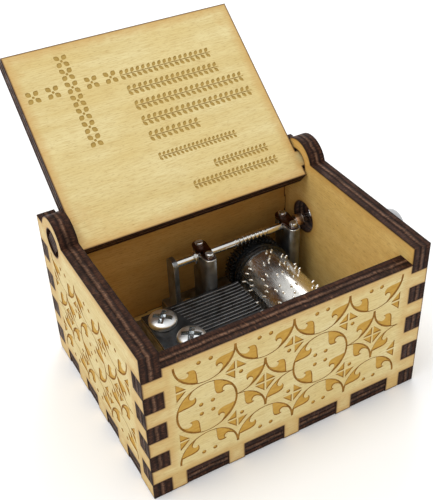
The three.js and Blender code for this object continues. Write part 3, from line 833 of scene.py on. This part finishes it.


# by default the inner face takes the lighter copy of the veneer with painted light
def plywood(node, outline, place, holes=(), outer=(), inner=(), inside_face=PAINTED_LIGHT_INSIDE):
    """A laser-cut sheet. place takes (along, up, through) to the row frame.

    through is 0 at the outer face and PLY at the inner one.
    """
    outline = divided(outline)
    rings = [(0, RIM), (RIM, 0)]
    for glue in (PLY / 3, 2 * (PLY / 3)):
        rings += [(glue - 0.06, 0), (glue, GLUE_LINE), (glue + 0.06, 0)]
    rings += [(PLY - RIM, 0), (PLY, RIM)]
    walls = [[(through, inset(outline, back)) for through, back in rings]]
    for x, y, profile in holes:
        walls.append([(through, circle(x, y, r)) for through, r in profile])

    points, faces, paint, away = [], [], [], []
    ends = []
    for side, motifs in ((0, outer), (-1, inner)):
        rim_loops = [wall[side][1] for wall in walls]
        spots, depth, triangles, colors, rim = face_grid(rim_loops[0], rim_loops[1:], motifs)
        through = walls[0][side][0]
        sink = ENGRAVED if side == 0 else -ENGRAVED
        start = len(points)
        points += [(p.x, p.y, through + sink * d) for p, d in zip(spots, depth)]
        away += list(distance_to(spots, rim_loops))
        order = (0, 1, 2) if side == 0 else (2, 1, 0)
        faces += [[start + t[i] for i in order] for t in triangles]
        if side != 0:
            colors = [INNER_BARE if color == BARE else INNER_ENGRAVED for color in colors]
        paint += colors
        ends.append([[start + i for i in loop] for loop in rim])
    for number, wall in enumerate(walls):
        previous = ends[0][number]
        for ring, (through, loop) in enumerate(wall[1:], 1):
            if ring == len(wall) - 1:
                current = ends[1][number]
            else:
                current = list(range(len(points), len(points) + len(loop)))
                points += [(p.x, p.y, through) for p in loop]
                away += [0] * len(loop)
            for i in range(len(loop)):
                j = (i + 1) % len(loop)
                faces.append([previous[i], current[i], current[j], previous[j]])
                paint.append(CUT)
            previous = current

    shell = Shell()
    shell.points = [Vector(place(*p)) for p in points]
    shell.faces, shell.paint = faces, paint
    piece = shell.build(node + "_cut", [BIRCH, LINE, FILL, EDGE, inside_face, FAINT_FILL])
    grain = Vector((random.uniform(0, 400), random.uniform(0, 400), 0))
    sheet = piece.data.attributes.new("sheet", "FLOAT_VECTOR", "POINT")
    sheet.data.foreach_set("vector", [c for p in points for c in Vector(p) + grain])
    piece.data.attributes.new("from_cut", "FLOAT", "POINT").data.foreach_set("value", away)
    return stand_for(piece, node)


def lid_place(along, up, through):
    turn = Matrix.Rotation(-LID_OPEN, 3, "X")
    return PIVOT + turn @ Vector((along, up, PLY / 2 - through))


# rows of leaves on the lid's inner face: from the left edge, to, down from the free edge, size
GARLANDS = [(23.6, 46.4, 11, 1.9), (23.8, 46.8, 15, 1.9), (24, 51.6, 18.9, 1.9), (24, 52, 22.8, 1.9),
            (24.1, 36.8, 26.7, 1.9), (24.2, 43.8, 31.8, 1.4), (35.6, 49.5, 37, 1.5), (29, 50.5, 40.4, 1.5)]
ROSETTES = {"x": 12.4, "y": 10.8, "across": (-2, 2, 4.5), "along": (-2, 4, 3.3), "reach": 1.95}


def lid_ornament():
    """Rows of leaves and a figure of rosettes for the lid's inner face."""
    left, top = LID_SIDE_GAP - IN_W, -LID_FRONT
    motifs = []
    for start, end, down, size in GARLANDS:
        motifs += garland(left + start, left + end, top + down, size)
    x, y = left + ROSETTES["x"], top + ROSETTES["y"]
    low, high, pitch = ROSETTES["across"]
    spots = [(x + pitch * i, y) for i in range(low, high + 1) if i]
    low, high, pitch = ROSETTES["along"]
    spots += [(x, y + pitch * i) for i in range(low, high + 1)]
    for spot in spots:
        motifs += rosette(*spot, ROSETTES["reach"])
    return motifs


def shifted(motifs, step):
    return [([p + step for p in outline], [p + step for p in core], filled)
            for outline, core, filled in motifs]


def clear_of(motifs, x, y, r):
    """Only the motifs that stay further than r from a spot."""
    return [m for m in motifs if min((p - flat(x, y)).length for p in m[0]) > r]


def build_case():
    cross_scroll = scroll(4, CROSS_MIDDLE, True)
    plywood("front_panel", cross_outline(FRONT_TOP), lambda a, u, t: (a, -HALF_D + t, u),
            outer=cross_scroll)
    # the back panel's inner face takes the darker copy of the veneer, painted shade
    plywood("back_panel", cross_outline(BACK_TOP), lambda a, u, t: (a, HALF_D - t, u), outer=cross_scroll,
            inside_face=PAINTED_SHADE_BIRCH)
    side_scroll = scroll(3, SIDE_MIDDLE, False)
    ear_hole = (PIVOT.y, PIVOT.z, hole_profile(PIVOT_HOLE_R))
    plywood("left_side_panel", side_outline(), lambda a, u, t: (-HALF_W + t, a, u), [ear_hole],
            side_scroll)
    shaft_hole = (SHAFT_HOLE["y"], SHAFT_HOLE["z"], hole_profile(SHAFT_HOLE["r"]))
    plywood("right_side_panel", side_outline(), lambda a, u, t: (HALF_W - t, a, u),
            [ear_hole, shaft_hole],
            clear_of(side_scroll, SHAFT_HOLE["y"], SHAFT_HOLE["z"], SHAFT_HOLE["r"] + 0.8))
    head_r, bore_r = 2.8, 1.6
    sink = [(0, head_r), (0.4, head_r), (1.8, bore_r), (PLY - RIM, bore_r), (PLY, bore_r + RIM)]
    plywood("bottom_panel", bottom_outline(), lambda a, u, t: (a, u, t),
            [(x, y, sink) for x, y in MOUNTING_SCREWS])
    lid_scroll = shifted(cross_scroll, flat(0, (LID_REAR - LID_FRONT) / 2 - CROSS_MIDDLE))
    plywood("lid", lid_outline(), lid_place, outer=lid_scroll, inner=lid_ornament(),
            inside_face=BIRCH)


# ---- movement ----
def note_y(note):
    return REAR_NOTE - NOTE_PITCH * note


def build_drum():
    """The tube and its pins: one note at each step, and now and then a second one."""
    r, bore, front, back = DRUM["r"], DRUM["bore"], DRUM["front"], DRUM["back"]
    soft = 0.12
    shell = Shell()
    tube = [(bore, front), (r - soft, front), (r, front + soft), (r, back - soft), (r - soft, back),
            (bore, back)]
    shell.add(*turned(tube, 128), place=ALONG_Y)
    p, tall = PIN["r"], PIN["height"]
    pin = turned([(0, -0.3), (p, -0.3), (p, tall - 0.16), (p * 0.8, tall - 0.05), (p * 0.4, tall),
                  (0, tall)], 10)
    for step in range(PIN["steps"]):
        angle = step / PIN["steps"] * PIN["arc"]
        note = (5 * step + 3 * (step // 6)) % NOTES
        sounded = [note]
        if step % PIN["chord_every"] == 0:
            sounded.append((note + 7) % NOTES)
        for n in sounded:
            turn = Matrix.Rotation(angle, 4, "Y")
            shell.add(*pin, place=turn @ at(r, note_y(n), 0) @ ALONG_X)
    shell.points = [q + Vector((DRUM["x"], 0, DRUM["z"])) for q in shell.points]
    stand_for(shell.build("pinned_drum", [METALS["nickel"]]), "drum")


def thread_radius(angle, x):
    """The worm's radius there; right above the drum's axis, a groove faces the gear."""
    turn = (x - DRUM["x"]) / WORM["pitch"] - (angle + math.pi / 2) / (2 * math.pi)
    from_crest = abs(turn - math.floor(turn) - 0.5) * WORM["pitch"]
    flank = (THREAD_HALF["root"] - from_crest) / (THREAD_HALF["root"] - THREAD_HALF["tip"])
    return WORM["root"] + (WORM["tip"] - WORM["root"]) * min(max(flank, 0), 1)


def build_shaft():
    steps, sides = 20, 40
    rings = WORM["turns"] * steps
    points, faces = [], []
    for ring in range(rings + 1):
        x = WORM["left"] + ring * WORM["pitch"] / steps
        for side in range(sides):
            angle = side * 2 * math.pi / sides
            r = thread_radius(angle, x)
            points.append((x, r * math.cos(angle), r * math.sin(angle)))
    for ring in range(rings):
        for side in range(sides):
            a, b = ring * sides + side, ring * sides + (side + 1) % sides
            faces.append((a, b, b + sides, a + sides))
    faces += [list(range(sides)), list(range(rings * sides, (rings + 1) * sides))]
    shell = Shell().add(points, faces)
    r, soft = SHAFT["r"], 0.15
    worm_right = WORM["left"] + WORM["turns"] * WORM["pitch"]
    for low, high in ((SHAFT["left"], WORM["left"] + 0.3), (worm_right - 0.3, SHAFT["right"])):
        rod = [(0, low), (r - soft, low), (r, low + soft), (r, high - soft), (r - soft, high), (0, high)]
        shell.add(*turned(rod, 40), place=ALONG_X)
    shell.points = [q + Vector((0, SHAFT["y"], SHAFT["z"])) for q in shell.points]
    stand_for(shell.build("worm_shaft", [METALS["drawn_shaft"]]), "crank_shaft")


def build_comb_screws():
    """Domed heads, each with a cross recess."""
    r, low, shank_r = (COMB_SCREW_SIZE[key] for key in ("r", "dome", "shank_r"))
    turns = np.linspace(0, math.pi / 2, 12)[:-1]
    dome = [(r * math.cos(a), low + low * math.sin(a)) for a in turns]
    shank = -COMB_SCREW_SIZE["shank"]
    profile = [(0, shank), (shank_r, shank), (shank_r, 0), (3.05, 0), (r, 0.15), *dome, (0, 2 * low)]
    materials = [METALS["chrome"], METALS["recess_painted_shade"]]
    for node, (x, y) in COMB_SCREWS.items():
        head = Shell().add(*turned(profile, 72)).build(node + "_domed", materials)
        for long, wide in ((2.3, 0.66), (0.66, 2.3)):
            cross = bar(-long, long, -wide, wide, 0.6, 2, 0.3)
            # the cutter's faces become the hollow's walls and take the darker metal: painted shade
            carved(head, Shell().add(*cross, paint=1).build("cross", materials))
        turn = Matrix.Rotation(random.uniform(0.2, 1.2), 4, "Z")
        head.data.transform(Matrix.Translation(Vector((x, y, COMB_TOP)) * MM) @ turn)
        stand_for(head, node)


def build_small_screws():
    """Cheese-head screws, each with its slot at its own angle."""
    profile = [(0, -2.4), (0.5, -2.4), (0.5, 0), (0.9, 0), (0.95, 0.06), (0.95, 0.66), (0.84, 0.8),
               (0.7, 0.85), (0, 0.85)]
    seat = SHAFT["z"] + SHAFT["r"] + CAP_PLATE_GAP + CAP_PLATE
    for node in [n for n in frame["nodes"] if n.endswith("cap_screw")]:
        low, high = box_mm(node)
        middle = (low + high) / 2
        head = Shell().add(*turned(profile, 40)).build(node + "_slotted", [METALS["screw_steel"]])
        slot = Shell().add(*bar(-1.2, 1.2, -0.15, 0.15, 0.45, 2)).build("slot", [METALS["screw_steel"]])
        carved(head, slot)
        turn = Matrix.Rotation(random.uniform(0, math.pi), 4, "Z")
        head.data.transform(Matrix.Translation(Vector((middle.x, middle.y, seat)) * MM) @ turn)
        stand_for(head, node)


def build_knob():
    left, right, r, bore = KNOB["left"], KNOB["right"], KNOB["r"], KNOB["bore"]
    profile = [(bore, left), (r - 1.1, left), (r - 0.8, left + 0.1), (r - 0.35, left + 0.6),
               (r - 0.1, left + 1.3), (r, left + 2.4), (r, right - 2), (r - 0.08, right - 1.3),
               (r - 0.3, right - 0.7), (r - 0.7, right - 0.25), (r - 1.25, right),
               (bore + 0.2, right), (bore, right - 0.2)]
    shaft = at(0, SHAFT["y"], SHAFT["z"]) @ Matrix.Rotation(CRANK_TILT, 4, "X")
    place = shaft @ at(0, -CRANK_R, 0) @ ALONG_X
    knob = Shell().add(*turned(profile, 72), place=place).build("turning_knob", [METALS["white_plastic"]])
    stand_for(knob, "crank_knob")


def build_movement():
    build_drum()
    build_shaft()
    build_comb_screws()
    build_small_screws()
    build_knob()
    finished = {
        "cast_zinc": (0.1, ["movement_base", "left_bearing_post", "right_bearing_post", "shaft_end_stop",
                            "front_drum_bracket", "rear_drum_bracket"]),
        "brown_plate": (0.05, ["left_bearing_cap", "right_bearing_cap"]),
        "bright_steel": (0.06, ["end_stop_screw", "mounting_screw_1", "mounting_screw_2", "mounting_screw_3",
                                "drum_spindle", "shaft_collar", "crank_arm", "crank_nut", "knob_pin"]),
        "brass": (0.06, ["drum_front_plug", "shaft_coupling"]),
        "lead": (0.08, [f"tuning_weight_{i + 1}" for i in range(6)]),
    }
    for name, (width, nodes) in finished.items():
        for node in nodes:
            softened(node, width, name)
    # the comb's bevels take the bright edge metal, partly a painted highlight
    softened("comb", 0.05, "spring_steel", COMB_EDGE_WEAR_AND_HIGHLIGHT)
    softened("drum_gear", 0.05, "black_nylon", METALS["black_nylon"])


# ---- studio ----
def build_studio():
    floor = Graph("studio_floor", Roughness=0.6)
    tone = floor.noise(floor.place((0.004, 0.004, 0.004)), detail=2)
    floor.finish(floor.ramp(tone, (0.3, (0.94, 0.94, 0.94, 1)), (0.7, (0.96, 0.96, 0.96, 1))))
    mesh = bpy.data.meshes.new("floor")
    reach = 3
    mesh.from_pydata([(-reach, -reach, 0), (reach, -reach, 0), (reach, reach, 0), (-reach, reach, 0)], [],
                     [(0, 1, 2, 3)])
    mesh.materials.append(floor.material)
    plane = bpy.data.objects.new("floor", mesh)
    plane.location.z = -0.0001
    bpy.context.scene.collection.objects.link(plane)

    world = bpy.data.worlds.new("studio")
    world.use_nodes = True
    world.node_tree.nodes["Background"].inputs["Color"].default_value = (1, 1, 1, 1)
    world.node_tree.nodes["Background"].inputs["Strength"].default_value = 0.9
    bpy.context.scene.world = world

    target = Vector((0, 0, 0.02))
    for name, place, size, power in (
        ("key", (-0.4, 0.05, 1.05), 0.6, 4),
        ("rim", (0.55, 0.85, 0.8), 0.5, 3),
    ):
        light = bpy.data.lights.new(name, "AREA")
        light.shape, light.size, light.energy = "DISK", size, power
        lamp = bpy.data.objects.new(name, light)
        lamp.location = place
        lamp.rotation_euler = (target - lamp.location).to_track_quat("-Z", "Y").to_euler()
        bpy.context.scene.collection.objects.link(lamp)
    bpy.context.scene.view_settings.view_transform = "Standard"


# the view that shows the open case from above its front left corner
LENS = 62.96
CAMERA_PLACE = Vector((-69.14, -127.66, 143.01))
CAMERA_RIGHT = Vector((0.87416, -0.48445, -0.0338))
CAMERA_FORWARD = Vector((0.36768, 0.70571, -0.60563))


def build_camera():
    data = bpy.data.cameras.new("camera")
    data.lens = LENS
    camera = bpy.data.objects.new("camera", data)
    bpy.context.scene.collection.objects.link(camera)
    right, forward = CAMERA_RIGHT.normalized(), CAMERA_FORWARD.normalized()
    up = right.cross(forward).normalized()
    turn = Matrix((right, up, -forward)).transposed().to_4x4()
    camera.matrix_world = Matrix.Translation(CAMERA_PLACE * MM) @ turn
    bpy.context.scene.camera = camera


build_case()
build_movement()
build_studio()
build_camera()
